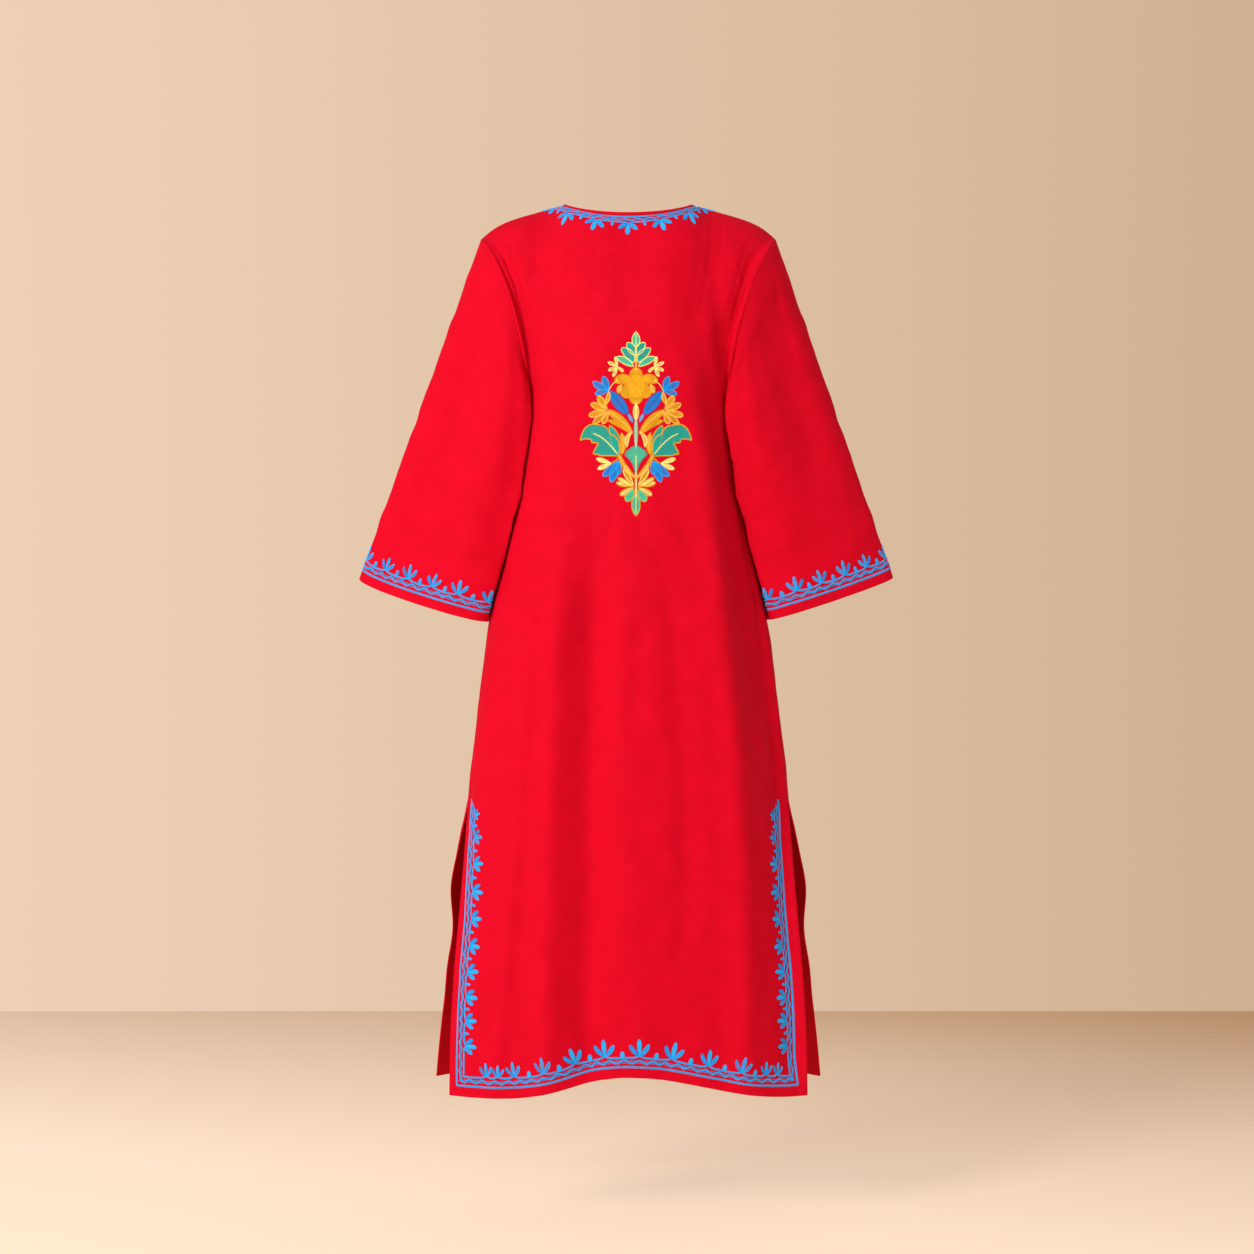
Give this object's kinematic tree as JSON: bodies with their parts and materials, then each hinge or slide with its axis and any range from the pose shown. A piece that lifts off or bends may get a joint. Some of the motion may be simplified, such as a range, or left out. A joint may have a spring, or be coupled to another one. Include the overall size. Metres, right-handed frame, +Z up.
{
  "type": "pheran",
  "caption": "Long loose Kashmiri tunic in red twill with wide flared sleeves, round neck, open side slits and embroidered edges, in the hollow form it keeps when worn.",
  "frame": {"origin": "midway between the neck ends of the two shoulder seams, where the shoulders carry the garment", "axes": "+Z up, -Y the way the wearer faces, +X the wearer's left"},
  "size_m": [0.792, 0.2791, 1.3038],
  "materials": {
    "twill": "matte red twill weave with a faint diagonal rib and a soft nap",
    "binding": "matte red twill strip",
    "embroidery": "chain stitch in soft satiny yarn: blue borders, and a motif in yellow, green and blue"
  },
  "bodies": {
    "root": {"back_panel": "twill", "front_panel": "twill", "left_sleeve": "twill", "right_sleeve": "twill", "neck_binding": "binding"}
  },
  "joints": []
}
